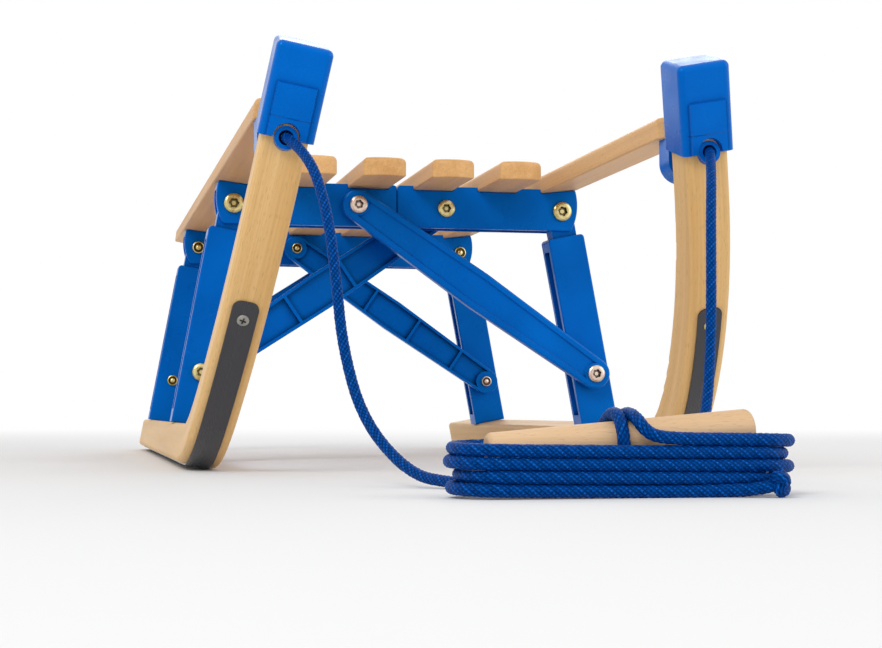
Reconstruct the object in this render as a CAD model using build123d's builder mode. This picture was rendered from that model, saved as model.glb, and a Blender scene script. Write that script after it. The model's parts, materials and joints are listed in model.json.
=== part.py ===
from build123d import *
import os
from math import acos, atan2, cos, hypot, sin, tan, radians

# Folding wooden sled, open and standing on its runners, in millimetres.
# +Z is up, the horns point to -Y, and the origin is on the floor under the middle of the box.
# The right half is modelled and mirrored wherever the two sides match.

# ---------------------------------------------------------------- driving sizes
# seat slats
slat_pitch = 52.0            # from one slat's middle to the next
slats_per_side = 3
slat_width = 32.0
slat_thick = 14.0
slat_top_round = 4.0         # rounding of the top's outline
slat_under_round = 1.2       # the underside's edges are only broken
slat_end_bulge = 5.0         # the ends are cut to an arc; its middle stands out by this much
slat_end_corner = 2.0
slat_front_reach = 77.0      # inner slats, ahead of the front trestle
slat_rear_reach = 114.0      # all slats, behind the rear trestle
outer_tilt = 7.0             # the outer slats rise outwards, which dishes the seat

# trestle beams, two half-beams to a trestle
beam_height = 30.0
beam_thick = 23.0
beam_wall = 3.5
beam_web = 3.0
beam_overhang = 13.0         # outer end of a half-beam, beyond the leg pivot
beam_end_top = 1.5           # the end bulges; its top corner is set back by this much
beam_end_low = 5.0           # and its lower corner by this much
beam_corner_round = 2.0
beam_edge_round = 1.1        # along the outline of the two faces
lip_rise = 3.0               # lips that keep the slats apart
lip_seam_round = 2.6         # their corners at the butt joint
seam_shift = 3.0             # the butt joint lies this far left of the centre pin
trestle_spacing = 366.0      # front face of one trestle to front face of the other
rib_thick = 2.5
rib_inset = 2.0              # the ribs stop this far above the beam's lower edge
beam_boss_wall = 3.5         # round the stay bolt, inside the channel

# hinge lines of the folding trestles
leg_pivot_shift = 1.0        # leg pivots, outside the middle of the outer slats
stay_pivot_x = 36.0
bolt_drop = 14.5             # leg and stay pivots, below the seats of the slats
centre_pin_below = 2.5       # centre pin, under the beam's lower edge
knuckle_round = 9.7
ear_thick = 5.0
ear_relief = 0.9             # the left half-beam's corner, cut back round the right one's ears
centre_pin_dia = 6.0
centre_head_dia = 9.0
centre_head_height = 2.0

# legs
splay = 10.5                 # legs and runners lean out by this angle
leg_width = 30.0
tongue_width = 20.0
shoulder = 20.0              # from the pivot down to the leg's shoulder
stay_bolt_up = 41.0          # the stay's bolt, above the top of the runner
leg_pocket = 5.0             # depth of the grooves in the leg's sides
leg_rim = 5.0
leg_shoulder_round = 3.0
leg_edge_round = 1.3

# stays, two crossing in each trestle
stay_thick = 8.0
stay_standoff = 4.5          # from the trestle's face to the stay
stay_end_radius = 12.0
stay_mid_half = 15.0         # half width at the middle
stay_rim = 2.6               # rims and cross ribs of the ribbed side
stay_soft_rim = 4.6          # rims of the smooth side
stay_soft_edge = 1.8         # rounding of the smooth side's outline
stay_thin_edge = 0.7         # rounding of the ribbed side's outline
stay_panel = 1.3             # depth of the smooth side's panel
stay_panel_taper = 40        # degrees; the panel's walls slope
stay_pocket = 5.0            # depth of the ribbed side's pockets
stay_rib_first = 37.5
stay_rib_pitch = 52.0
stay_rib_count = 4
stay_boss_radius = 10.0
stay_seat_radius = 8.3       # flat ring under a bolt's head on the smooth side

# bolts
bolt_dia = 8.0
bolt_head_dia = 14.5
bolt_head_height = 3.6
nut_dia = 12.0
nut_height = 3.6
head_taper = 8               # degrees

# runners
runner_width = 28.0
runner_height = 27.0
runner_drop = 200.0          # from the leg pivot down to the runner's underside
runner_round = 3.5
runner_rear_trim = 1.5       # the runner stops this short of the slats' rear ends
bend_ahead = 126.0           # start of the bend, ahead of the front trestle's face
bend_radius = 132.0
bend_angle = 38.0
rise_radius = 323.0
rise_angle = 33.5
horn_above = 53.0            # from the hinge line up the horn's front to its top
strip_width = 16.5
strip_thick = 1.2
strip_rise_angle = 18.7      # how far the strip runs up the rise
strip_front_round = 5.5
strip_rear_gap = 3.0

# horn caps and horn hinges
cap_wall = 3.0
cap_round = 4.0
cap_panel_rise = 2.0
cap_panel_width = 25.0
cap_panel_height = 33.0
cap_panel_taper = 20         # degrees
cap_panel_root = 0.5         # the panel starts this far inside the cap's wall
cap_notch_gap = 1.0          # between the cap's notch and the hinge tube
horn_tube_dia = 14.0
horn_bore_dia = 9.0
horn_tube_proud = 1.0
lug_radius = 13.0
lug_thick = 18.0

# pull rope
rope_dia = 6.0
knot_radius = 8.0
handle_dia = 19.0
handle_length = 130.0
handle_round = 3.0
handle_tilt = 5.0            # degrees; the handle's right end lies higher
lashing_turns = 2            # round the middle of the handle
hank_turns = 4               # flat turns round the handle's length, on each other
hank_length = 171.0
hank_slack = 2.0             # the turns lie this much higher than their diameters add up to
hank_round = 2.5
rope_end_inset = 1.9         # the rope inside a tube stops this far short of its mouth

# clearances
moving_gap = 5.0             # between pieces that pass each other
butt_gap = 0.4               # the two half-beams at the seam
pin_gap = 0.05               # radial, a pin in its hole
side_gap = 0.5               # tongue in channel, knuckle between ears
slat_gap = 0.3               # slat beside a lip
cap_gap = 0.1                # horn in its cap
face_gap = 0.3               # faces that slide on each other
head_gap = 0.2               # a bolt's head or nut on the stay that turns under it
lug_gap = 1.5                # hinge lug behind the horn

# ---------------------------------------------------------------- derived places
s, c = sin(radians(splay)), cos(radians(splay))
leg_pivot_x = (slats_per_side - 0.5) * slat_pitch + leg_pivot_shift
leg_length = runner_drop - runner_height
leg_stay_pivot = leg_length - stay_bolt_up      # from the leg's own pivot down to the stay's bolt
beam_end = leg_pivot_x + beam_overhang
pivot_z = (runner_drop + strip_thick) * c + strip_width / 2 * s
seat_z = pivot_z + bolt_drop
centre_pin_z = seat_z - beam_height - centre_pin_below
horn_angle = bend_angle + rise_angle

# outline of the runner's underside, as (y ahead of the front trestle, drop below the pivot)
bend_end = (-bend_ahead - bend_radius * sin(radians(bend_angle)),
            runner_drop - bend_radius * (1 - cos(radians(bend_angle))))
rise_end = (bend_end[0] - rise_radius * (sin(radians(horn_angle)) - sin(radians(bend_angle))),
            bend_end[1] - rise_radius * (cos(radians(bend_angle)) - cos(radians(horn_angle))))
horn_front = rise_end[0] - rise_end[1] / tan(radians(horn_angle))     # horn face at pivot height
horn_straight = horn_above + rise_end[1] / sin(radians(horn_angle))
cap_height = horn_above + cap_wall
cap_front = (horn_front - (cap_height - cap_round) * cos(radians(horn_angle))
             + (cap_round - cap_wall) * sin(radians(horn_angle)) - cap_round)
rear_reach = trestle_spacing + beam_thick + slat_rear_reach
front_y = -(rear_reach + cap_front) / 2                               # front trestle's front face
rear_y = front_y + trestle_spacing
slat_rear_y = front_y + rear_reach
horn_y = front_y + horn_front
horn_deep = runner_height / sin(radians(horn_angle))
lug_front_y = horn_y + horn_deep + lug_radius / tan(radians(horn_angle)) + lug_gap
outer_front_y = horn_y + horn_deep + slat_width / 2 / tan(radians(horn_angle)) + moving_gap
tube_mouth_y = horn_y - horn_tube_dia / 2 / tan(radians(horn_angle)) - horn_tube_proud

leg_pin = (leg_pivot_x, pivot_z)
stay_pin = (stay_pivot_x, pivot_z)
leg_lower_pin = (leg_pivot_x + leg_stay_pivot * s, pivot_z - leg_stay_pivot * c)
trestles = {"front": front_y, "rear": rear_y}

# the plane of the right runner and leg: local x is Y, local y is up the leg
runner_plane = Plane(origin=(leg_pivot_x, 0, pivot_z), x_dir=(0, 1, 0), z_dir=(c, 0, s))


def face_plane(y):
    """XZ plane at y, with local x along X and local y along Z; its normal is -Y."""
    return Plane(origin=(0, y, 0), x_dir=(1, 0, 0), z_dir=(0, -1, 0))


def slant(x):
    """Height of the outer slat's underside above the other seats, at x."""
    inner = (slats_per_side - 0.5) * slat_pitch - slat_width / 2
    return max(0.0, (x - inner) * tan(radians(outer_tilt)))


def mirrored(piece):
    with BuildPart() as twin:
        add(piece)
        mirror(about=Plane.YZ, mode=Mode.REPLACE)
    return twin.part


pieces = {}

# ---------------------------------------------------------------- slats
for index in range(slats_per_side):
    slat_x = (index + 0.5) * slat_pitch
    outer = index == slats_per_side - 1
    slat_front_y = outer_front_y if outer else front_y - slat_front_reach
    tilt_x, tilt_z = cos(radians(outer_tilt if outer else 0)), sin(radians(outer_tilt if outer else 0))
    underside = Plane(origin=(slat_x - slat_width / 2, 0, seat_z), x_dir=(tilt_x, 0, tilt_z),
                      z_dir=(-tilt_z, 0, tilt_x))
    with BuildPart() as slat:
        with BuildSketch(underside) as plan:
            front_corner, rear_corner = slat_front_y + slat_end_bulge, slat_rear_y - slat_end_bulge
            with BuildLine():
                Line((0, rear_corner), (0, front_corner))
                ThreePointArc((0, front_corner), (slat_width / 2, slat_front_y), (slat_width, front_corner))
                Line((slat_width, front_corner), (slat_width, rear_corner))
                ThreePointArc((slat_width, rear_corner), (slat_width / 2, slat_rear_y), (0, rear_corner))
            make_face()
            fillet(plan.vertices(), slat_end_corner)
        extrude(amount=slat_thick)
        along = Axis(underside.origin, underside.z_dir)
        flats = slat.faces().sort_by(along)
        fillet(flats[-1].edges(), slat_top_round)
        fillet(slat.faces().sort_by(along)[0].edges(), slat_under_round)
    name = ["inner", "middle", "outer"][index]
    pieces[f"slat_right_{name}"] = slat.part
    pieces[f"slat_left_{name}"] = mirrored(slat.part)


# ---------------------------------------------------------------- half-beams
def half_beam(front, right):
    """Right half-beam; the left one is built on the same side and mirrored afterwards."""
    inner_x = -seam_shift if right else seam_shift + butt_gap
    low = seat_z - beam_height
    deep = front + beam_thick
    with BuildPart() as beam:
        with BuildSketch(face_plane(deep)):
            top_x, low_x = beam_end - beam_end_top, beam_end - beam_end_low
            with BuildLine():
                Polyline((low_x, low), (inner_x, low), (inner_x, seat_z),
                         ((slats_per_side - 0.5) * slat_pitch - slat_width / 2, seat_z),
                         (top_x, seat_z + slant(top_x)))
                ThreePointArc((top_x, seat_z + slant(top_x)), (beam_end, pivot_z), (low_x, low))
            make_face()
        extrude(amount=beam_thick)
        fillet(beam.edges().filter_by(Axis.Y).sort_by(Axis.X)[-2:], beam_corner_round)
        fillet(beam.faces().filter_by(Axis.Y).edges(), beam_edge_round)
        # channel, open below and at the outer end
        with BuildSketch(face_plane(deep - beam_wall)):
            with Locations((inner_x, low)):
                Rectangle(beam_end + beam_overhang - inner_x, beam_height - beam_web,
                          align=(Align.MIN, Align.MIN))
        extrude(amount=beam_thick - 2 * beam_wall, mode=Mode.SUBTRACT)
        # lips between the slats
        for gap_index in range(slats_per_side):
            left = (gap_index - 0.5) * slat_pitch + slat_width / 2 + slat_gap
            right_side = (gap_index + 0.5) * slat_pitch - slat_width / 2 - slat_gap
            left = max(left, inner_x)
            with BuildSketch(face_plane(deep)):
                with Locations((left, seat_z - beam_web / 2)):
                    Rectangle(right_side - left, lip_rise + beam_web / 2, align=(Align.MIN, Align.MIN))
            extrude(amount=beam_thick)
        seam_top = beam.edges().filter_by(Axis.Y).group_by(Axis.X)[0].sort_by(Axis.Z)[-1]
        fillet(seam_top, lip_seam_round)
        # ribs and the stay bolt's boss inside the channel
        with BuildSketch(face_plane(deep)):
            for rib_index in range(1, slats_per_side):
                rib_height = beam_height - rib_inset - beam_web / 2
                with Locations((rib_index * slat_pitch + slat_width / 4, low + rib_inset)):
                    Rectangle(rib_thick, rib_height, align=(Align.CENTER, Align.MIN))
            with Locations(stay_pin):
                Circle(bolt_dia / 2 + beam_boss_wall)
        extrude(amount=beam_thick)
        if right:
            # two ears round the centre pin
            for ear_y in (front + ear_thick, deep):
                with BuildSketch(face_plane(ear_y)):
                    with Locations((0, centre_pin_z)):
                        Circle(knuckle_round)
                extrude(amount=ear_thick)
        else:
            # the corner below the seam is cut back round the other half's ears
            with BuildSketch(face_plane(deep)):
                with Locations((0, centre_pin_z)):
                    Circle(knuckle_round + ear_relief)
            extrude(amount=beam_thick, mode=Mode.SUBTRACT)
            # one knuckle between those ears
            with BuildSketch(face_plane(deep - ear_thick - side_gap)):
                with Locations((0, centre_pin_z)):
                    Circle(knuckle_round)
                with Locations((inner_x, low)):
                    Rectangle(knuckle_round, beam_height - beam_web / 2, align=(Align.MIN, Align.MIN))
            extrude(amount=beam_thick - 2 * (ear_thick + side_gap))
        with BuildSketch(face_plane(deep)):
            with Locations((0, centre_pin_z)):
                Circle(centre_pin_dia / 2 + pin_gap)
            with Locations(stay_pin, leg_pin):
                Circle(bolt_dia / 2 + pin_gap)
        extrude(amount=beam_thick, mode=Mode.SUBTRACT)
    return beam.part


for end, face_y in trestles.items():
    pieces[f"half_beam_{end}_right"] = half_beam(face_y, True)
    pieces[f"half_beam_{end}_left"] = mirrored(half_beam(face_y, False))
    with BuildPart() as centre_pin:
        with BuildSketch(face_plane(face_y + beam_thick)):
            with Locations((0, centre_pin_z)):
                Circle(centre_pin_dia / 2)
        extrude(amount=beam_thick)
        for head_y in (face_y, face_y + beam_thick + centre_head_height):
            with BuildSketch(face_plane(head_y)):
                with Locations((0, centre_pin_z)):
                    Circle(centre_head_dia / 2)
            extrude(amount=centre_head_height)
    pieces[f"centre_pin_{end}"] = centre_pin.part


# ---------------------------------------------------------------- legs
def leg(front):
    across = Plane(origin=(leg_pivot_x, front + beam_thick, pivot_z), x_dir=(c, 0, s), z_dir=(0, -1, 0))
    channel = beam_thick - 2 * (beam_wall + side_gap)
    tongue_plane = across.offset(beam_wall + side_gap)
    with BuildPart() as bar:
        with BuildSketch(across) as block:
            with Locations((0, -shoulder)):
                Rectangle(leg_width, leg_length - shoulder, align=(Align.CENTER, Align.MAX))
            fillet(block.vertices().sort_by(Axis.Y)[-2:], leg_shoulder_round)
        extrude(amount=beam_thick)
        fillet(bar.faces().filter_by(Axis.Y).edges(), leg_edge_round)
        with BuildSketch(tongue_plane):
            Circle(tongue_width / 2)
            Rectangle(tongue_width, shoulder + 2, align=(Align.CENTER, Align.MAX))
        extrude(amount=channel)
        # grooves down both sides
        with BuildSketch(across.offset(leg_rim)):
            for side in (-1, 1):
                with Locations((side * leg_width / 2, -(shoulder + leg_length) / 2)):
                    Rectangle(2 * leg_pocket, leg_length - shoulder - 4 * leg_rim)
        extrude(amount=beam_thick - 2 * leg_rim, mode=Mode.SUBTRACT)
        with BuildSketch(across):
            Circle(bolt_dia / 2 + pin_gap)
            with Locations((0, -leg_stay_pivot)):
                Circle(bolt_dia / 2 + pin_gap)
        extrude(amount=beam_thick, mode=Mode.SUBTRACT)
    return bar.part


# ---------------------------------------------------------------- stays
def stay(start, finish, face_y, outwards, smooth_out):
    """A stay from bolt to bolt, clear of a trestle's face at face_y; outwards is its side, -1 or 1 along Y.

    smooth_out puts the smooth panel on the side away from the trestle.
    """
    run = Vector(finish[0] - start[0], finish[1] - start[1])
    length = run.length
    direction = Vector(run.X / length, 0, run.Y / length)
    near = face_y + outwards * stay_standoff
    plane = Plane(origin=(start[0], near, start[1]), x_dir=direction, z_dir=(0, outwards, 0))
    boss_plane = Plane(origin=(start[0], face_y + outwards * face_gap, start[1]), x_dir=direction,
                       z_dir=(0, outwards, 0))
    panel_plane = plane.offset(stay_thick) if smooth_out else plane
    pocket_plane = plane if smooth_out else plane.offset(stay_thick - stay_pocket)

    def outline(shrink):
        """A bar with round ends that is a little wider at its middle."""
        end_r, mid_r = stay_end_radius - shrink, stay_mid_half - shrink
        lean = acos(end_r / hypot(mid_r, length / 2)) - atan2(length / 2, mid_r)
        back, up = end_r * sin(lean), end_r * cos(lean)
        with BuildSketch() as shape:
            with BuildLine():
                Polyline((-back, up), (length / 2, mid_r), (length + back, up))
                ThreePointArc((length + back, up), (length + end_r, 0), (length + back, -up))
                Polyline((length + back, -up), (length / 2, -mid_r), (-back, -up))
                ThreePointArc((-back, -up), (-end_r, 0), (-back, up))
            make_face()
        return shape.sketch

    with BuildPart() as bar:
        with BuildSketch(plane):
            add(outline(0))
        extrude(amount=stay_thick)
        near_side, far_side = bar.faces().filter_by(Axis.Y).sort_by(Axis.Y)[::outwards]
        smooth, ribbed = (far_side, near_side) if smooth_out else (near_side, far_side)
        fillet(smooth.edges(), stay_soft_edge)
        fillet(ribbed.edges(), stay_thin_edge)
        with BuildSketch(panel_plane):
            add(outline(stay_soft_rim))
            with Locations((0, 0), (length, 0)):
                Circle(stay_seat_radius if smooth_out else stay_boss_radius, mode=Mode.SUBTRACT)
        extrude(amount=-stay_panel if smooth_out else stay_panel, taper=stay_panel_taper,
                mode=Mode.SUBTRACT)
        with BuildSketch(pocket_plane):
            add(outline(stay_rim))
            for rib_index in range(stay_rib_count):
                with Locations((stay_rib_first + rib_index * stay_rib_pitch, 0)):
                    Rectangle(stay_rim, 4 * stay_mid_half, mode=Mode.SUBTRACT)
            with Locations((0, 0), (length, 0)):
                Circle(stay_boss_radius, mode=Mode.SUBTRACT)
        extrude(amount=stay_pocket, mode=Mode.SUBTRACT)
        with BuildSketch(boss_plane):
            with Locations((0, 0), (length, 0)):
                Circle(stay_boss_radius)
        extrude(amount=stay_standoff - face_gap)
        with BuildSketch(boss_plane):
            with Locations((0, 0), (length, 0)):
                Circle(bolt_dia / 2 + pin_gap)
        extrude(amount=stay_standoff + stay_thick, mode=Mode.SUBTRACT)
    return bar.part


# ---------------------------------------------------------------- bolts
def bolt(at, head_face, nut_face, head_side):
    """A pan-head bolt along Y; head_side is -1 when the head looks forward. Without a nut it ends flush."""
    x, z = at
    with BuildPart() as screw:
        with BuildSketch(Plane(origin=(x, head_face, z), x_dir=(1, 0, 0), z_dir=(0, head_side, 0))):
            Circle(bolt_head_dia / 2)
        extrude(amount=bolt_head_height, taper=head_taper)
        with BuildSketch(Plane(origin=(x, head_face, z), x_dir=(1, 0, 0), z_dir=(0, -head_side, 0))):
            Circle(bolt_dia / 2)
        extrude(amount=abs(nut_face - head_face))
    return screw.part


def nut(at, face, side, shank_to):
    """The nut end of a bolt on a face, with the shank that reaches back to shank_to."""
    x, z = at
    with BuildPart() as end:
        with BuildSketch(Plane(origin=(x, face, z), x_dir=(1, 0, 0), z_dir=(0, side, 0))):
            Circle(nut_dia / 2)
        extrude(amount=nut_height, taper=head_taper)
        if abs(shank_to - face) > 0.01:
            with BuildSketch(Plane(origin=(x, face, z), x_dir=(1, 0, 0), z_dir=(0, -side, 0))):
                Circle(bolt_dia / 2)
            extrude(amount=abs(face - shank_to))
    return end.part


def joined(*solids):
    with BuildPart() as group:
        for solid in solids:
            add(solid)
    return group.part


def flip(point):
    return (-point[0], point[1])


for end, face_y in trestles.items():
    back_y = face_y + beam_thick
    head_side = -1 if end == "front" else 1          # both trestles turn their bolt heads outwards
    head_y, nut_y = (face_y, back_y) if head_side < 0 else (back_y, face_y)
    out = stay_standoff + stay_thick
    pieces[f"leg_{end}_right"] = leg(face_y)
    pieces[f"leg_{end}_left"] = mirrored(pieces[f"leg_{end}_right"])
    # one stay runs before the trestle from left to right, the other behind it from right to left
    fore = stay(flip(stay_pin), leg_lower_pin, face_y, -1, end == "front")
    aft = stay(stay_pin, flip(leg_lower_pin), back_y, 1, end == "front")
    pieces[f"stay_{end}_fore"] = fore
    pieces[f"stay_{end}_aft"] = aft
    for side in ("left", "right"):
        place = flip if side == "left" else (lambda point: point)
        # leg pivots, held by the half-beam
        pieces[f"leg_bolt_{end}_{side}"] = joined(
            bolt(place(leg_pin), head_y, nut_y, head_side), nut(place(leg_pin), nut_y, -head_side, nut_y))
        # stay pivots on the half-beam: the stay lies before the left half and behind the right half
        stay_out = face_y - out - head_gap if side == "left" else back_y + out + head_gap
        near_is_head = (side == "left") == (head_side < 0)
        head_at = stay_out if near_is_head else head_y
        nut_at = nut_y if near_is_head else stay_out
        pieces[f"stay_bolt_{end}_{side}"] = joined(
            bolt(place(stay_pin), head_at, nut_at, head_side),
            nut(place(stay_pin), nut_at, -head_side, nut_at))
    # lower stay bolts, parted where the stay meets the leg
    for which, at, stay_out, leg_face, far_face in (
            ("fore", leg_lower_pin, face_y - out, face_y, back_y),
            ("aft", flip(leg_lower_pin), back_y + out, back_y, face_y)):
        side = 1 if which == "aft" else -1
        outer_is_head = side == head_side
        stay_end_y = leg_face + side * face_gap
        if outer_is_head:
            on_stay = bolt(at, stay_out, stay_end_y, head_side)
            on_leg = nut(at, far_face, -side, leg_face)
        else:
            on_stay = nut(at, stay_out, side, stay_end_y)
            on_leg = bolt(at, far_face, leg_face, -side)
        pieces[f"foot_bolt_{end}_{which}"] = on_stay
        pieces[f"foot_nut_{end}_{which}"] = on_leg


# ---------------------------------------------------------------- runners and strips
def under_line(rear, rise, straight):
    """The runner's underside from the rear to the horn, in the runner's plane; must run inside BuildLine."""
    flat = Line((rear, -runner_drop), (front_y - bend_ahead, -runner_drop))
    bend = JernArc(start=flat @ 1, tangent=(-1, 0), radius=bend_radius, arc_size=-bend_angle)
    lift = JernArc(start=bend @ 1, tangent=bend % 1, radius=rise_radius, arc_size=-rise)
    if straight:
        Line(lift @ 1, lift @ 1 + (lift % 1) * straight)


with BuildPart() as runner:
    with BuildSketch(runner_plane.offset(-runner_width / 2)):
        with BuildLine() as under:
            under_line(slat_rear_y - runner_rear_trim, rise_angle, horn_straight)
            offset(amount=runner_height, side=Side.RIGHT, closed=True)
        make_face()
    extrude(amount=runner_width)
    fillet(runner.edges().filter_by(lambda edge: edge.length > 5), runner_round)
    with BuildSketch(face_plane(horn_y + 2 * horn_deep)):
        with Locations(leg_pin):
            Circle(horn_tube_dia / 2 + pin_gap)
    extrude(amount=3 * horn_deep, mode=Mode.SUBTRACT)
pieces["runner_right"] = runner.part
pieces["runner_left"] = mirrored(runner.part)

with BuildPart() as strip:
    with BuildSketch(runner_plane.offset(-strip_width / 2)):
        with BuildLine() as wear:
            under_line(slat_rear_y - runner_rear_trim - strip_rear_gap, strip_rise_angle, 0)
            offset(amount=strip_thick, side=Side.LEFT, closed=True)
        make_face()
    extrude(amount=strip_width)
    short = strip.edges().filter_by(lambda edge: edge.length < strip_thick * 1.2).group_by(Axis.Y)[0]
    fillet(short, strip_front_round)
pieces["runner_strip_right"] = strip.part
pieces["runner_strip_left"] = mirrored(strip.part)

# ---------------------------------------------------------------- horn caps
# the horn's own frame: origin on its front face at pivot height, local x across, local y up the horn
up_horn = Vector(0, -cos(radians(horn_angle)), 0) + Vector(-s, 0, c) * sin(radians(horn_angle))
across_horn = Vector(c, 0, s)
horn_plane = Plane(origin=(leg_pivot_x, horn_y, pivot_z), x_dir=across_horn,
                   z_dir=across_horn.cross(up_horn))
cap_width = runner_width + 2 * cap_wall
with BuildPart() as cap:
    with BuildSketch(horn_plane.offset(-runner_height - cap_wall)):
        Rectangle(cap_width, cap_height, align=(Align.CENTER, Align.MIN))
    extrude(amount=runner_height + 2 * cap_wall)
    bottom = cap.faces().sort_by(Axis(horn_plane.origin, up_horn))[0]
    fillet([edge for edge in cap.edges() if edge not in bottom.edges()], cap_round)
    with BuildSketch(horn_plane.offset(-runner_height - cap_gap)):
        Rectangle(runner_width + 2 * cap_gap, horn_above + cap_gap, align=(Align.CENTER, Align.MIN))
    extrude(amount=runner_height + 2 * cap_gap, mode=Mode.SUBTRACT)
    with BuildSketch(horn_plane.offset(cap_wall - cap_panel_root)):
        Rectangle(cap_panel_width, cap_panel_height, align=(Align.CENTER, Align.MIN))
    extrude(amount=cap_panel_rise + cap_panel_root, taper=cap_panel_taper)
    with BuildSketch(face_plane(horn_y + 2 * horn_deep)):
        with Locations(leg_pin):
            Circle(horn_tube_dia / 2 + cap_notch_gap)
    extrude(amount=4 * horn_deep, mode=Mode.SUBTRACT)
pieces["horn_cap_right"] = cap.part
pieces["horn_cap_left"] = mirrored(cap.part)

# ---------------------------------------------------------------- horn hinges
lug_back_y = lug_front_y + lug_thick
with BuildPart() as hinge:
    with BuildSketch(face_plane(lug_back_y)):
        with Locations(leg_pin):
            Circle(lug_radius)
        left, right = leg_pivot_x - lug_radius, leg_pivot_x + lug_radius
        with BuildLine():
            Polyline((left, pivot_z), (right, pivot_z), (right, seat_z + slant(right)),
                     (left, seat_z + slant(left)), close=True)
        make_face()
    extrude(amount=lug_thick)
    with BuildSketch(face_plane(lug_back_y)):
        with Locations(leg_pin):
            Circle(horn_tube_dia / 2)
    extrude(amount=lug_back_y - tube_mouth_y)
    with BuildSketch(face_plane(lug_back_y)):
        with Locations(leg_pin):
            Circle(horn_bore_dia / 2)
    extrude(amount=lug_back_y - tube_mouth_y, mode=Mode.SUBTRACT)
pieces["horn_hinge_right"] = hinge.part
pieces["horn_hinge_left"] = mirrored(hinge.part)

# ---------------------------------------------------------------- pull rope
# each strand leaves its tube, drops to the floor ahead of the horns and runs to the knot;
# points are (inwards, ahead, height) from the mouth of the left tube
strand_points = [
    (0, 0, pivot_z), (9, 26, pivot_z - 12), (17, 45, pivot_z - 44), (21, 55, pivot_z - 84),
    (24, 61, pivot_z - 125), (33, 76, pivot_z - 165), (53, 104, 6.5), (70, 132, rope_dia / 2 + 0.1),
    (84, 161, rope_dia / 2 + 0.1), (104, 184, 4.5), (leg_pivot_x, 190, knot_radius)]


def strand(side):
    route = [Vector(side * (leg_pivot_x - inward), tube_mouth_y - ahead, height)
             for inward, ahead, height in strand_points]
    last = route[-1] - route[-2]
    route[-1] = route[-1] - last.normalized() * (knot_radius + face_gap)
    radii = []
    for before, here, after in zip(route, route[1:], route[2:]):
        turn = (here - before).get_angle(after - here)
        shorter = min((here - before).length, (after - here).length)
        radii.append(0.45 * shorter / tan(radians(turn / 2)))
    with BuildPart() as tube:
        with BuildLine() as path:
            FilletPolyline(*route, radius=radii)
        with BuildSketch(Plane(origin=path.wire() @ 0, z_dir=path.wire() % 0)):
            Circle(rope_dia / 2)
        sweep()
    print("strand", side, "length", round(path.wire().length, 1), "volume ratio",
          round(tube.part.volume / (3.14159265 * rope_dia ** 2 / 4 * path.wire().length), 4),
          "radii", [round(radius, 1) for radius in radii])
    return tube.part


pieces["rope_left"] = strand(-1)
pieces["rope_right"] = strand(1)

knot_y = tube_mouth_y - strand_points[-1][1]
with BuildPart() as knot:
    with Locations((0, knot_y, knot_radius)):
        Sphere(knot_radius)
pieces["rope_knot"] = knot.part

# the handle lies in the middle of the hank, and its lashing fills the hank's width
lashing_dia = handle_dia + 2 * (rope_dia + face_gap)
hank_inner = lashing_dia + 2 * face_gap
hank_width = hank_inner + 2 * rope_dia
hank_height = hank_turns * rope_dia + hank_slack
hank_y = knot_y - knot_radius - face_gap - hank_width / 2
tilt = radians(handle_tilt)
handle_plane = Plane(origin=(0, hank_y, hank_height), x_dir=(0, 1, 0), z_dir=(cos(tilt), 0, sin(tilt)))

with BuildPart() as handle:
    with BuildSketch(handle_plane):
        Circle(handle_dia / 2)
    extrude(amount=handle_length / 2, both=True)
    fillet(handle.edges(), handle_round)
pieces["pull_handle"] = handle.part

with BuildPart() as lashing:
    with BuildSketch(handle_plane):
        Circle(lashing_dia / 2)
        Circle(handle_dia / 2 + face_gap, mode=Mode.SUBTRACT)
    extrude(amount=lashing_turns * rope_dia / 2, both=True)
    fillet(lashing.edges().filter_by(lambda edge: edge.length > 2.9 * lashing_dia), hank_round)
pieces["rope_lashing"] = lashing.part

with BuildPart() as hank:
    with BuildSketch(Plane.XY):
        with Locations((0, hank_y)):
            RectangleRounded(hank_length, hank_width, hank_width / 2 - hank_slack)
            RectangleRounded(hank_length - 2 * rope_dia, hank_inner, hank_inner / 2 - hank_slack,
                             mode=Mode.SUBTRACT)
    extrude(amount=hank_height)
    rims = hank.faces().filter_by(Axis.Z)
    fillet(rims.edges(), hank_round)
pieces["rope_hank"] = hank.part

# the rope's ends inside the tubes, each with a stopper knot behind the hinge
with BuildPart() as stopper:
    with BuildSketch(face_plane(lug_back_y + face_gap + knot_radius)):
        with Locations(leg_pin):
            Circle(rope_dia / 2)
    extrude(amount=lug_back_y + face_gap + knot_radius - tube_mouth_y - rope_end_inset)
    with Locations((leg_pivot_x, lug_back_y + face_gap + knot_radius, pivot_z)):
        Sphere(knot_radius)
pieces["rope_end_right"] = stopper.part
pieces["rope_end_left"] = mirrored(stopper.part)

# ---------------------------------------------------------------- write the pieces
os.makedirs("parts", exist_ok=True)
for name, piece in pieces.items():
    piece.label = name
    export_step(piece, f"parts/{name}.step")
print(len(pieces), "pieces; front trestle at", round(front_y, 2), "seat at", round(seat_z, 2))
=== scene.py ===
# %% [markdown]
# # A folding beech sled
#
# The sled's wooden, plastic and metal parts arrive as a imported CAD frame, which stays where it is. This
# notebook gives them their finishes, and models what the CAD leaves plain: the braided pull rope, the
# bolts, the screws and the small marks of making. Every length is in metres, and +Z is up.

import json
import math

import bmesh
import bpy
from mathutils import Matrix, Vector


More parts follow.
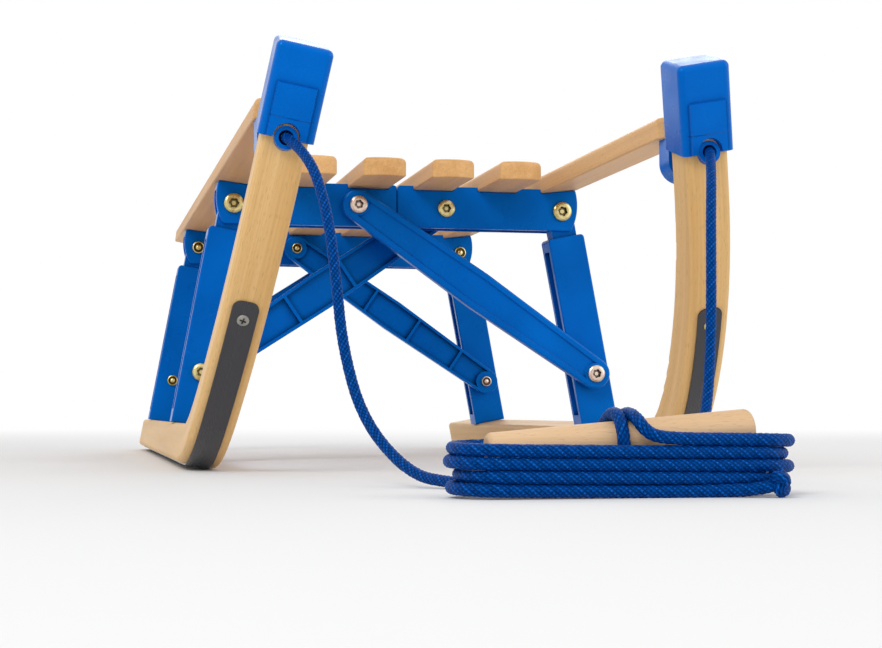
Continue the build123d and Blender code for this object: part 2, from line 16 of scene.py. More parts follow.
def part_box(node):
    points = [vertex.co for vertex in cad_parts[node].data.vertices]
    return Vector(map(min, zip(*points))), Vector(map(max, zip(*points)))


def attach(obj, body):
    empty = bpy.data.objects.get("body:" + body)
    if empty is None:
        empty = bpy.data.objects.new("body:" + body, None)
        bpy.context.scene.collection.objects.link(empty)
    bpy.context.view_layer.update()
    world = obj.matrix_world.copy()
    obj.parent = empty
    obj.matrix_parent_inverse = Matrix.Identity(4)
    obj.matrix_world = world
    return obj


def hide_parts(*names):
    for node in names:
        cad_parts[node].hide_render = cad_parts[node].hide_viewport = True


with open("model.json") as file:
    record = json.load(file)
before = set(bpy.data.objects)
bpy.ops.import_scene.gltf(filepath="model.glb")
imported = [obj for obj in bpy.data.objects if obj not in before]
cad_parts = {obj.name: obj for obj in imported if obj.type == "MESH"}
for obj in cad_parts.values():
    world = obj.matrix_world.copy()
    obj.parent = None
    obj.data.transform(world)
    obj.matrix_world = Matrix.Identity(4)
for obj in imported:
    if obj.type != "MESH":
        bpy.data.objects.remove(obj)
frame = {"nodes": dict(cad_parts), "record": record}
nodes = frame["nodes"]
scene = bpy.context.scene
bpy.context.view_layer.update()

# %% [markdown]
# ## Places that the frame gives
#
# A place that is read from the frame stays right when the CAD changes. The trestles, the tubes that the
# rope leaves by, and the knot are all measured from the boxes of their own nodes.

# %% Measure the frame
mm = 0.001


def middle(node):
    """The middle of a CAD node's box."""
    low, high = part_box(node)
    return (low + high) / 2


front_face_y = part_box("half_beam_front_left")[0].y
mouth_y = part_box("horn_hinge_right")[0].y
leg_bolt = middle("leg_bolt_front_right")
pivot_x, pivot_z = leg_bolt.x, leg_bolt.z
knot_at = middle("rope_knot")
handle_at = middle("pull_handle")
print("pivot at", round(pivot_x, 4), round(pivot_z, 4), "tube mouth at y", round(mouth_y, 4))

# %% [markdown]
# ## Camera
#
# The sled is looked at from low down in front, a little to its left, with a fairly long lens. The camera
# sits just above the floor that the sled stands on, and is turned slightly upwards, so that the sled fills
# the picture.

# %% Camera
def look_at(thing, place, aim):
    """Put a camera or a lamp at a place, and turn it towards another."""
    thing.location = place
    thing.rotation_mode = "QUATERNION"
    thing.rotation_quaternion = (Vector(aim) - Vector(place)).to_track_quat("-Z", "Y")
    scene.collection.objects.link(thing)


eye_height = 0.04
camera_data = bpy.data.cameras.new("camera")
camera_data.sensor_width = 36
camera_data.lens = 70
camera = bpy.data.objects.new("camera", camera_data)
look_at(camera, (-0.254, front_face_y - 1.316, eye_height), (0.006, front_face_y - 0.12, 0.102))
scene.camera = camera
print("camera at", [round(v, 3) for v in camera.location])

# %% [markdown]
# ## Floor and light
#
# Three big soft lamps and a plain white world light the sled evenly, as in a product studio. The camera,
# and gloss and glass, see a pure white world, but the world lights the sled less than that, so that pale
# surfaces don't burn out. Light Path tells the world's shader what is looking at it.

# %% Floor
floor_half = 12
floor_mesh = bmesh.new()
bmesh.ops.create_grid(floor_mesh, x_segments=1, y_segments=1, size=floor_half)
floor_data = bpy.data.meshes.new("floor")
floor_mesh.to_mesh(floor_data)
floor_mesh.free()
floor = bpy.data.objects.new("floor", floor_data)
scene.collection.objects.link(floor)
print("floor is", 2 * floor_half, "m wide")

# %% World
world_light = 0.6
world = bpy.data.worlds.new("studio")
scene.world = world
world.use_nodes = True
sky = world.node_tree
light_only = sky.nodes["Background"]
light_only.inputs["Color"].default_value = (1, 1, 1, 1)
light_only.inputs["Strength"].default_value = world_light
seen = sky.nodes.new("ShaderNodeBackground")
seen.inputs["Color"].default_value = (1, 1, 1, 1)
ray = sky.nodes.new("ShaderNodeLightPath")
looked_at, any_look = sky.nodes.new("ShaderNodeMath"), sky.nodes.new("ShaderNodeMath")
looked_at.operation = any_look.operation = "MAXIMUM"
choose = sky.nodes.new("ShaderNodeMixShader")
for source, target in [
        (ray.outputs["Is Camera Ray"], looked_at.inputs[0]),
        (ray.outputs["Is Glossy Ray"], looked_at.inputs[1]),
        (looked_at.outputs[0], any_look.inputs[0]),
        (ray.outputs["Is Transmission Ray"], any_look.inputs[1]),
        (any_look.outputs[0], choose.inputs[0]),
        (light_only.outputs[0], choose.inputs[1]),
        (seen.outputs[0], choose.inputs[2]),
        (choose.outputs[0], sky.nodes["World Output"].inputs["Surface"])]:
    sky.links.new(source, target)
scene.view_settings.view_transform = "Standard"
print("world lights the sled with strength", world_light)


# %% Lamps
def soft_lamp(name, place, aim_height, width, watts):
    """A square lamp aimed at a height over the middle of the floor."""
    lamp_data = bpy.data.lights.new(name, "AREA")
    lamp_data.shape = "SQUARE"
    lamp_data.size = width
    lamp_data.energy = watts
    look_at(bpy.data.objects.new(name, lamp_data), place, (0, 0, aim_height))


soft_lamp("key_lamp", (-1.3, -2.0, 1.7), aim_height=0.1, width=1.2, watts=26)
soft_lamp("fill_lamp", (1.9, -1.4, 0.9), aim_height=0.12, width=1.6, watts=12)
soft_lamp("back_lamp", (0.6, 2.2, 1.6), aim_height=0.1, width=1.4, watts=14)
print("lamps:", len(bpy.data.lights))

# %% [markdown]
# ## Turning a bmesh into a piece
#
# Every new piece ends the same way: its mesh is named, shaded smooth except at sharp edges, given a
# finish and told which body it rides on, and the CAD nodes that it stands for are hidden.


# %% Finish a piece
def piece(name, mesh, finish, body, stands_for=(), sharp=30):
    """A new object from a bmesh; an edge bent by more than sharp degrees stays sharp."""
    mesh.normal_update()
    data = bpy.data.meshes.new(name)
    mesh.to_mesh(data)
    mesh.free()
    made = bpy.data.objects.new(name, data)
    scene.collection.objects.link(made)
    data.materials.append(finish)
    data.shade_smooth()
    data.set_sharp_from_angle(angle=math.radians(sharp))
    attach(made, body)
    if stands_for:
        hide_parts(*stands_for)
    return made


no_sharp_edge = 180

# %% [markdown]
# ## Small tools for finishes
#
# A finish starts as a Principled shader whose constant values sit on its own sockets. A few helpers keep
# the node code short: most add one node, link its inputs, and give back its output. Patterns read Object
# coordinates, which are the same as the sled's own metres, so they stay fixed in the piece.


# %% Start of a finish
def new_finish(name, color, roughness, **more):
    """A material and its tree; more are further constant sockets, with underscores for spaces."""
    paint = bpy.data.materials.new(name)
    paint.use_nodes = True
    shader = paint.node_tree.nodes["Principled BSDF"]
    shader.inputs["Base Color"].default_value = (*color, 1)
    shader.inputs["Roughness"].default_value = roughness
    for socket, value in more.items():
        shader.inputs[socket.replace("_", " ")].default_value = value
    return paint, paint.node_tree, shader


# %% Node helpers
def add_node(tree, kind, inputs=(), **settings):
    """A shader node with settings; inputs pairs a socket with a value or another node's output."""
    node = tree.nodes.new("ShaderNode" + kind)
    for setting, value in settings.items():
        setattr(node, setting, value)
    for socket, value in dict(inputs).items():
        if isinstance(value, bpy.types.NodeSocket):
            tree.links.new(value, node.inputs[socket])
        else:
            node.inputs[socket].default_value = value
    return node


def calc(tree, operation, *values):
    """The output of a Math node."""
    return add_node(tree, "Math", enumerate(values), operation=operation).outputs[0]


def place_of(tree, scale=(1, 1, 1), turn=(0, 0, 0)):
    """Object coordinates through a Mapping node."""
    vector = add_node(tree, "TexCoord").outputs["Object"]
    return add_node(tree, "Mapping", {"Vector": vector, "Scale": scale, "Rotation": turn}).outputs[0]


def noise(tree, vector, scale, detail):
    """Noise with about so many waves in each unit of the vector."""
    return add_node(tree, "TexNoise", {"Vector": vector, "Scale": scale, "Detail": detail}).outputs["Fac"]


# %% Helpers for ranges and colours
def rerange(tree, value, low, high, new_low=0.0, new_high=1.0):
    """A value whose range low to high is stretched to a new one."""
    return add_node(tree, "MapRange", {"Value": value, "From Min": low, "From Max": high,
                                       "To Min": new_low, "To Max": new_high}).outputs[0]


def mix_colors(tree, factor, first, second):
    inputs = {"Factor": factor, "A": first, "B": second}
    return add_node(tree, "Mix", inputs, data_type="RGBA").outputs["Result"]


def ramp(tree, factor, *stops):
    """A ColorRamp; each stop is (position, color)."""
    node = add_node(tree, "ValToRGB", {"Fac": factor})
    colors = node.color_ramp.elements
    while len(colors) < len(stops):
        colors.new(0.5)
    for element, (position, color) in zip(colors, stops):
        element.position = position
        element.color = (*color, 1)
    return node.outputs["Color"]


def bump(tree, shader, height, strength, depth):
    """Bump on the shader's normal; depth is in metres."""
    node = add_node(tree, "Bump", {"Height": height, "Strength": strength, "Distance": depth})
    tree.links.new(node.outputs[0], shader.inputs["Normal"])


# %% [markdown]
# ## Finish: floor
#
# Near the sled the floor is matt and very pale, and takes its shadow. Further away it turns into the
# white of the background, only for the camera and for gloss, so that no horizon cuts through the picture.

# %% Floor finish
floor_finish, tree, shader = new_finish("floor_paint", (0.88, 0.88, 0.88), 0.9)
floor_data.materials.append(floor_finish)
fade_start, fade_end = 0.75, 2.6
flat_place = place_of(tree, (1, 1, 0))
distance = add_node(tree, "VectorMath", {0: flat_place}, operation="LENGTH").outputs["Value"]
far = add_node(tree, "MapRange", {"Value": distance, "From Min": fade_start, "From Max": fade_end},
               interpolation_type="SMOOTHSTEP").outputs[0]
ray = add_node(tree, "LightPath").outputs
seen_far = calc(tree, "MULTIPLY", far, calc(tree, "MAXIMUM", ray["Is Camera Ray"], ray["Is Glossy Ray"]))
white = add_node(tree, "Emission", {"Color": (1, 1, 1, 1)}).outputs[0]
blended = add_node(tree, "MixShader", {0: seen_far, 1: shader.outputs[0], 2: white})
tree.links.new(blended.outputs[0], tree.nodes["Material Output"].inputs["Surface"])
print("floor fades from", fade_start, "to", fade_end, "m")

# %% [markdown]
# ## Finish: beech
#
# Beech is a pale, even wood. What tells it from other woods is its rays: short, thin, darker flecks that
# lie along the grain, and that show as dots on an end. Four noises make it, each stretched along the
# grain: a slow change of tone from board to board, soft bands, fine streaks, and the flecks. The wood is
# tan under a clear satin lacquer. Its gloss is weak and a little warm, because strong white gloss would
# make such a pale wood look chalky. The slats are sawn straight, so their grain is simply +Y.


# %% Beech finish
wood_gloss = (1.0, 0.85, 0.6, 1.0)


def beech(name, grain, light, dark, roughness=0.42):
    """Beech whose grain vector is (along, across, across), in metres, made by grain(tree)."""
    paint, tree, shader = new_finish(
        name, light, roughness, Specular_IOR_Level=0.32, Specular_Tint=wood_gloss)
    way = grain(tree)

    def stretched(along, across, detail, offset):
        """Noise with so many waves in a metre along and across the grain."""
        vector = add_node(tree, "Mapping", {
            "Vector": way, "Scale": (along, across, across), "Location": (offset, offset, offset)})
        return noise(tree, vector.outputs[0], 1.0, detail)

    board = stretched(along=0.6, across=17, detail=1.0, offset=3.7)
    bands = stretched(along=3.0, across=85, detail=3.0, offset=11.0)
    streaks = stretched(along=9, across=650, detail=3.0, offset=5.0)
    rays = stretched(along=190, across=1700, detail=1.0, offset=8.0)
    tone = calc(tree, "ADD", calc(tree, "MULTIPLY", board, 0.6), calc(tree, "MULTIPLY", bands, 0.9))
    tone = calc(tree, "ADD", tone, calc(tree, "MULTIPLY", streaks, 0.6))
    shade = rerange(tree, tone, 0.78, 1.32)
    middle_tone = [0.5 * (a + b) for a, b in zip(light, dark)]
    wood = ramp(tree, shade, (0.0, dark), (0.5, middle_tone), (1.0, light))
    fleck = rerange(tree, rays, 0.60, 0.74, 0.0, 0.34)
    ray_color = [0.45 * v for v in dark]
    tree.links.new(mix_colors(tree, fleck, wood, (*ray_color, 1)), shader.inputs["Base Color"])
    rough = rerange(tree, streaks, 0.3, 0.7, roughness - 0.06, roughness + 0.1)
    tree.links.new(rough, shader.inputs["Roughness"])
    bump(tree, shader, calc(tree, "SUBTRACT", streaks, fleck), 0.25, 0.2 * mm)
    return paint


# %% Straight-grained beech
def straight_grain(tree):
    """Grain along +Y."""
    return place_of(tree, turn=(0, 0, math.radians(-90)))


slat_beech = beech("slat_beech", straight_grain, (0.82, 0.49, 0.215), (0.62, 0.325, 0.12))
handle_beech = beech("handle_beech", place_of, (0.84, 0.585, 0.36), (0.72, 0.47, 0.265), 0.55)
print("beech finish has", len(slat_beech.node_tree.nodes), "nodes")

# %% [markdown]
# ## Finish: bent beech
#
# A runner is steamed and bent, so its grain follows the bend. The finish works out, for each point, how
# far along the bent runner it lies and how deep in the wood, measured from the underside. The runner is a
# flat run, a tight bend, a slower rise and a straight horn. On an arc, the way along is the radius times
# the angle, and the depth is the radius less the distance from the arc's centre.

# %% Shape of a runner's underside, in the plane that the runner leans in
splay = math.radians(10.5)                      # how far a runner leans outwards
runner_drop = 0.200                             # from the pivots down to the underside
bend_radius, bend_turn = 0.132, math.radians(38.0)
rise_radius, rise_turn = 0.323, math.radians(33.5)
horn_turn = bend_turn + rise_turn
bend_length, rise_length = bend_radius * bend_turn, rise_radius * rise_turn
flat_end = (front_face_y - 0.126, -runner_drop)


def arc_after(start, turned, radius):
    """Centre of an arc that starts there, where the underside has already turned so far."""
    return (start[0] + radius * math.sin(turned), start[1] + radius * math.cos(turned))


def on_arc(centre, radius, turned):
    """The point of an arc where the underside has turned so far."""
    return (centre[0] - radius * math.sin(turned), centre[1] - radius * math.cos(turned))


bend_centre = arc_after(flat_end, 0, bend_radius)
bend_end = on_arc(bend_centre, bend_radius, bend_turn)
rise_centre = arc_after(bend_end, bend_turn, rise_radius)
rise_end = on_arc(rise_centre, rise_radius, horn_turn)
print("bend ends at", [round(v, 4) for v in bend_end], "rise ends at", [round(v, 4) for v in rise_end])


# %% Grain that follows the bend
def bent_grain(tree):
    """A vector of the way along a bent runner, the way across it, and the depth in it."""
    parts = add_node(tree, "SeparateXYZ", {0: add_node(tree, "TexCoord").outputs["Object"]}).outputs
    outwards = calc(tree, "SUBTRACT", calc(tree, "ABSOLUTE", parts["X"]), pivot_x)
    upwards = calc(tree, "SUBTRACT", parts["Z"], pivot_z)
    y = parts["Y"]

    def turned(a, by_a, b, by_b):
        return calc(tree, "ADD", calc(tree, "MULTIPLY", a, by_a), calc(tree, "MULTIPLY", b, by_b))

    up = turned(outwards, -math.sin(splay), upwards, math.cos(splay))
    across = turned(outwards, math.cos(splay), upwards, math.sin(splay))

    def around(centre, radius, before, turned_before):
        """Way along, depth and angle round an arc's centre."""
        ahead = calc(tree, "SUBTRACT", centre[0], y)
        below = calc(tree, "SUBTRACT", centre[1], up)
        angle = calc(tree, "ARCTAN2", ahead, below)
        squares = calc(tree, "ADD", calc(tree, "POWER", ahead, 2.0), calc(tree, "POWER", below, 2.0))
        depth = calc(tree, "SUBTRACT", radius, calc(tree, "SQRT", squares))
        more = calc(tree, "MULTIPLY", calc(tree, "SUBTRACT", angle, turned_before), radius)
        return calc(tree, "ADD", more, before), depth, angle

    flat = calc(tree, "SUBTRACT", flat_end[0], y), calc(tree, "ADD", up, runner_drop)
    bend = around(bend_centre, bend_radius, 0.0, 0.0)
    rise = around(rise_centre, rise_radius, bend_length, bend_turn)
    from_rise_y = calc(tree, "SUBTRACT", y, rise_end[0])
    from_rise_up = calc(tree, "SUBTRACT", up, rise_end[1])
    horn_way = turned(from_rise_y, -math.cos(horn_turn), from_rise_up, math.sin(horn_turn))
    horn = (calc(tree, "ADD", horn_way, bend_length + rise_length),
            turned(from_rise_y, math.sin(horn_turn), from_rise_up, math.cos(horn_turn)))
    past_flat = calc(tree, "LESS_THAN", y, flat_end[0])
    past_bend = calc(tree, "GREATER_THAN", bend[2], bend_turn)
    past_rise = calc(tree, "GREATER_THAN", rise[2], horn_turn)

    def choose_part(index):
        chosen = flat[index]
        for gate, part in ((past_flat, bend), (calc(tree, "MULTIPLY", past_flat, past_bend), rise),
                           (calc(tree, "MULTIPLY", past_flat, past_rise), horn)):
            chosen = add_node(tree, "Mix", {"Factor": gate, "A": chosen, "B": part[index]}).outputs["Result"]
        return chosen

    return add_node(tree, "CombineXYZ", {"X": choose_part(0), "Y": across, "Z": choose_part(1)}).outputs[0]


# %% Bent beech
runner_beech = beech("runner_beech", bent_grain, (0.88, 0.585, 0.27), (0.68, 0.40, 0.15))
print("runner finish has", len(runner_beech.node_tree.nodes), "nodes")

# %% [markdown]
# ## Finish: blue plastic
#
# The trestles and caps are moulded in strong blue plastic. A moulded face is never quite even: the colour
# drifts a little, the gloss changes where the plastic flowed, and the surface has a very fine grain. Its
# gloss is tinted, because white gloss over a colour this strong turns it pale and violet. An Ambient
# Occlusion node finds the inner corners and creases of the moulding and paints shade into the blue there.

# %% Blue plastic finish
blue_gloss = (0.03, 0.42, 1.0, 1.0)
blue_plastic, tree, shader = new_finish(
    "blue_plastic", (0.0, 0.105, 0.47), 0.3, Specular_IOR_Level=0.85, Specular_Tint=blue_gloss)
drift = noise(tree, place_of(tree), 16.0, 2.0)
blue = ramp(tree, drift, (0.3, (0.0, 0.092, 0.44)), (0.7, (0.0, 0.128, 0.58)))
openness = add_node(tree, "AmbientOcclusion", {"Distance": 0.005}, samples=8, only_local=True).outputs["AO"]
# Painted shade: where the AO finds an inner corner or crease, the blue turns to a dark navy.
painted_crease_shade = rerange(tree, openness, 0.95, 0.35)
tree.links.new(mix_colors(tree, painted_crease_shade, blue, (0, 0.022, 0.13, 1)), shader.inputs["Base Color"])
skin = noise(tree, place_of(tree), 1500.0, 1.0)
flow = noise(tree, place_of(tree), 45.0, 3.0)
tree.links.new(rerange(tree, flow, 0.3, 0.7, 0.22, 0.38), shader.inputs["Roughness"])
bump(tree, shader, skin, 0.12, 0.1 * mm)
print("blue plastic has", len(tree.nodes), "nodes")

# %% [markdown]
# ## Finish: cap
#
# A cap is the same plastic. Low on its front panel the mould leaves a faint line straight across the
# horn. It is too shallow to model, so this finish is a copy of the plastic with one more bump: a soft step
# at one place along the horn. The bent grain finds that place, because it measures along the runner.

# %% Cap finish
cap_plastic = blue_plastic.copy()
cap_plastic.name = "cap_plastic"
tree = cap_plastic.node_tree
along_horn = add_node(tree, "SeparateXYZ", {0: bent_grain(tree)}).outputs
mouth_way = ((rise_end[0] - mouth_y) * math.cos(horn_turn) - rise_end[1] * math.sin(horn_turn)
             + bend_length + rise_length)
step_way = mouth_way + 11.5 * mm
step_half, panel_half = 0.4 * mm, 14 * mm
past_step = rerange(tree, along_horn["X"], step_way - step_half, step_way + step_half)
on_panel = calc(tree, "LESS_THAN", calc(tree, "ABSOLUTE", along_horn["Y"]), panel_half)
fine_bump = next(node for node in tree.nodes if node.bl_idname == "ShaderNodeBump")
step_bump = add_node(tree, "Bump", {"Height": calc(tree, "MULTIPLY", past_step, on_panel),
                                    "Strength": 1.0, "Distance": 0.5 * mm, "Normal": fine_bump.outputs[0]})
tree.links.new(step_bump.outputs[0], tree.nodes["Principled BSDF"].inputs["Normal"])
print("cap step is", round(step_way, 4), "along the runner's bend")

# %% [markdown]
# ## Finish: wear strip
#
# The dark strips are extruded plastic, satin, with faint lines along their length from the die. They
# bend with the runner, so the lines follow the same bent grain.

# %% Strip finish
strip_plastic, tree, shader = new_finish("strip_plastic", (0.028, 0.027, 0.033), 0.28, Specular_IOR_Level=0.6)
way = bent_grain(tree)
die_lines = add_node(tree, "Mapping", {"Vector": way, "Scale": (2, 420, 420)}).outputs[0]
lines = noise(tree, die_lines, 1.0, 2.0)
dark = ramp(tree, lines, (0.3, (0.026, 0.025, 0.031)), (0.7, (0.029, 0.028, 0.035)))
tree.links.new(dark, shader.inputs["Base Color"])
tree.links.new(rerange(tree, lines, 0.3, 0.7, 0.25, 0.29), shader.inputs["Roughness"])
bump(tree, shader, lines, 0.012, 0.1 * mm)
print("strip finish has", len(tree.nodes), "nodes")

# %% [markdown]
# ## Finishes: plated steel
#
# Bolts and screws are zinc plated: yellow, rosy or clear, and dull on the screws under the runners.
# Plating is metal with a soft, slightly cloudy shine that drifts between two near tones. In a recess or a
# groove little light gets in and the plating looks dark. So each bolt and screw carries an attribute,
# shade, that is 1 on such walls and 0 in the open.


# %% Plating finishes
pit_light = 0.13                                # brightness of a wall that gets little light


def plating(name, color, other, roughness):
    paint, tree, shader = new_finish(name, color, roughness, Metallic=1.0)
    cloud = noise(tree, place_of(tree), 260.0, 3.0)
    plate = ramp(tree, cloud, (0.35, color), (0.65, other))
    shade = add_node(tree, "Attribute", attribute_name="shade").outputs["Fac"]
    pit = (*(pit_light * v for v in color), 1)
    tree.links.new(mix_colors(tree, shade, plate, pit), shader.inputs["Base Color"])
    rough = rerange(tree, cloud, 0.3, 0.7, roughness - 0.07, roughness + 0.08)
    tree.links.new(rough, shader.inputs["Roughness"])
    return paint


yellow_zinc = plating("yellow_zinc", (0.62, 0.49, 0.18), (0.78, 0.68, 0.36), 0.27)
rosy_zinc = plating("rosy_zinc", (0.74, 0.57, 0.48), (0.84, 0.69, 0.59), 0.3)
clear_zinc = plating("clear_zinc", (0.60, 0.61, 0.62), (0.72, 0.72, 0.72), 0.32)
dull_zinc = plating("dull_zinc", (0.30, 0.29, 0.27), (0.42, 0.40, 0.36), 0.42)
print("a plating has", len(yellow_zinc.node_tree.nodes), "nodes")

# %% [markdown]
# ## Finishing the CAD's own pieces
#
# The slats, runners, strips, trestles and caps already have their true shapes, so they only change
# their material. Which finish a piece gets follows from its name.

# %% Give the CAD pieces their finishes
finish_of = {"slat": slat_beech, "runner_strip": strip_plastic, "runner": runner_beech,
             "pull_handle": handle_beech, "half_beam": blue_plastic, "leg_front": blue_plastic,
             "leg_rear": blue_plastic, "stay_front": blue_plastic, "stay_rear": blue_plastic,
             "horn_cap": cap_plastic, "horn_hinge": blue_plastic}
for name, node in nodes.items():
    start = next((start for start in finish_of if name.startswith(start)), None)
    if start:
        node.data.materials.clear()
        node.data.materials.append(finish_of[start])
body_of = {name: body for body, names in frame["record"]["behaviour"]["bodies"].items() for name in names}

# %% [markdown]
# ## Bolts
#
# A trestle bolt has a wide, low head with a six-lobed recess, and on its other end a round nut with the
# bolt's end in the middle. Each is turned like a part on a lathe: starting in the recess, rings are
# extruded one after another out over the head and along the shank. Only the rings of the recess aren't
# round. An outline gives their reach at each angle: in and out six times, or to the arms of a cross.

# %% Outlines
lathe_points = 48
lobe_depth = 0.10
cross_arm = 0.24                                # half the width of an arm, as a share of its reach


def round_ring(_angle):
    return 1.0


def six_lobes(angle):
    return 1 + lobe_depth * math.cos(6 * angle)


def cross(angle):
    folded = (angle + math.pi / 4) % (math.pi / 2) - math.pi / 4
    return min(1.0, cross_arm / max(abs(math.sin(folded)), 1e-6))


# %% Lathe
def in_order(mesh):
    """Sort edges and faces by their corners, since extruding leaves them in another order each run."""
    mesh.verts.index_update()
    count = len(mesh.verts)

    def by_corners(part):
        corners = [vertex.index for vertex in part.verts]
        return min(corners) * count + max(corners)

    mesh.edges.sort(key=by_corners)
    mesh.faces.sort(key=by_corners)


def turned_part(rings, centre, axis, turn):
    """A bmesh of rings (radius, height, outline, shade) from one end to the other, along an axis."""
    mesh = bmesh.new()
    dark = mesh.verts.layers.float.new("shade")
    ring = bmesh.ops.create_circle(mesh, segments=lathe_points, radius=1.0, cap_ends=True)["verts"]
    edges = mesh.edges[:]
    for number, (radius, height, outline, shade) in enumerate(rings):
        if number:
            grown = bmesh.ops.extrude_edge_only(mesh, edges=edges)["geom"]
            ring = [part for part in grown if isinstance(part, bmesh.types.BMVert)]
            new = set(ring)
            edges = [part for part in grown if isinstance(part, bmesh.types.BMEdge)
                     and part.verts[0] in new and part.verts[1] in new]
        for vertex in ring:
            angle = math.atan2(vertex.co.y, vertex.co.x)
            reach = radius * outline(angle)
            vertex.co = (reach * math.cos(angle), reach * math.sin(angle), height)
            vertex[dark] = shade
    bmesh.ops.contextual_create(mesh, geom=edges)
    bmesh.ops.recalc_face_normals(mesh, faces=mesh.faces)
    way = Vector(axis).to_track_quat("Z", "Y").to_matrix().to_4x4()
    place = Matrix.Translation(Vector(centre)) @ way @ Matrix.Rotation(turn, 4, "Z")
    bmesh.ops.transform(mesh, matrix=place, verts=mesh.verts)
    in_order(mesh)
    return mesh


# %% Profiles of heads and nuts
recess_depth = 0.8                              # as a share of the head's height


def head_rings(radius, height, recess):
    """From the pin in the middle of the recess, over the head, to its underside."""
    floor_z = height * (1 - recess_depth)
    return [(recess * 0.48, floor_z + 0.9 * mm, round_ring, 0.0), (recess * 0.60, floor_z, round_ring, 0.7),
            (recess * 0.90, floor_z, six_lobes, 1), (recess * 0.97, height - 0.3 * mm, six_lobes, 1),
            (recess * 1.04, height, six_lobes, 0.3), (recess * 1.3, height, round_ring, 0),
            (radius * 0.80, height - 0.02 * mm, round_ring, 0),
            (radius * 0.84, height - 0.16 * mm, round_ring, 0.25),
            (radius * 0.95, height - 0.65 * mm, round_ring, 0), (radius, height * 0.62, round_ring, 0),
            (radius, 0.12 * height, round_ring, 0), (radius - 0.3 * mm, 0.0, round_ring, 0.4)]


def nut_rings(radius, height):
    """From the domed end of the bolt, over the groove round it and the nut's rim, to the underside."""
    return [(0.10 * radius, height, round_ring, 0), (0.28 * radius, height * 0.95, round_ring, 0),
            (0.42 * radius, height * 0.82, round_ring, 0), (0.50 * radius, height * 0.62, round_ring, 0.5),
            (0.52 * radius, height * 0.35, round_ring, 1), (0.74 * radius, height * 0.35, round_ring, 1),
            (0.78 * radius, height * 0.80, round_ring, 0.6), (0.84 * radius, height * 0.9, round_ring, 0),
            (0.93 * radius, height * 0.86, round_ring, 0), (radius, height * 0.62, round_ring, 0),
            (radius, 0.1 * height, round_ring, 0), (radius - 0.3 * mm, 0.0, round_ring, 0.4)]


# %% One bolt's rings
def bolt_rings(first, second, height, length, shank):
    """A bolt with one end at its top and, unless second is empty, another at its bottom."""
    seat = length - height                      # from the far end up to the head's underside
    rings = [(r, seat + z, outline, dark) for r, z, outline, dark in first] + [(shank, seat, round_ring, 0)]
    if not second:
        return rings + [(shank, 0.0, round_ring, 0)]
    rings.append((shank, height, round_ring, 0))
    return rings + [(r, height - z, outline, dark) for r, z, outline, dark in reversed(second)]


# %% Make every trestle bolt
widest_nut = 13 * mm                            # a foot piece with a wider box has a head, not a nut
twist_step = 1.9                                # so that no two recesses stand at the same angle
rosy_bolts = ("foot_bolt", "stay_bolt_front_left", "stay_bolt_rear_right")
bolt_names = [name for name in sorted(body_of)
              if name.startswith(("leg_bolt", "stay_bolt", "foot_bolt", "foot_nut", "centre_pin"))]
for number, name in enumerate(bolt_names, 1):
    low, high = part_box(name)
    centre = (low + high) / 2
    way = -1 if "front" in name else 1          # the heads of a trestle's bolts look outwards
    if name.startswith("centre_pin"):
        radius, height, shank = 4.5 * mm, 2.0 * mm, 3 * mm
        first = second = head_rings(radius, height, 1.5 * mm)
    else:
        on_leg = name.startswith("leg_bolt")
        radius, nut_radius = (7.75 * mm, 6.0 * mm) if on_leg else (6.9 * mm, 5.1 * mm)
        height, shank = 3.6 * mm, 4 * mm
        first, second = head_rings(radius, height, 0.45 * radius), nut_rings(nut_radius, height)
    if name.startswith("foot"):                 # the closed linkage is parted here: one end each
        if high.x - low.x < widest_nut:
            first, way = second, -way
        second = None
    length = high.y - low.y
    start_y = high.y if way > 0 else low.y
    foot = Vector((centre.x, start_y - way * length, centre.z))
    rings = bolt_rings(first, second, height, length, shank)
    finish = rosy_zinc if name.startswith(rosy_bolts) else yellow_zinc
    if name.startswith("centre_pin"):
        finish = clear_zinc
    mesh = turned_part(rings, foot, (0, way, 0), number * twist_step)
    piece(f"{name}_turned", mesh, finish, body_of[name], [name])
print(len(bolt_names), "bolts made")

# %% [markdown]
# ## Screws
#
# Each wear strip is held by four screws, and each slat by one screw over each trestle. Their heads are
# low and countersunk, so that only a shallow dome with a cross recess stands out. Only the head is made,
# with a short stub below it that the wood hides.

# %% Screw heads
def screw(name, centre, axis, finish, body, radius, height, turn):
    """A screw whose head stands out by height from the surface at its centre."""
    rings = [(radius * 0.30, -0.9 * mm, cross, 1), (radius * 0.52, height - 0.04 * mm, cross, 1),
             (radius * 0.56, height, cross, 0.2), (radius * 0.66, height, round_ring, 0),
             (radius * 0.85, height * 0.8, round_ring, 0), (radius * 0.96, height * 0.45, round_ring, 0),
             (radius, 0.0, round_ring, 0.5), (radius * 0.6, -1.3 * mm, round_ring, 0)]
    piece(name, turned_part(rings, centre, axis, turn), finish, body)


# %% [markdown]
# ### Screws in the wear strips
#
# One screw sits on the rise of the runner, so it looks forwards, and three sit under the flat run. Snow
# and stones have dulled them, and only the right front one still has its yellow plating.

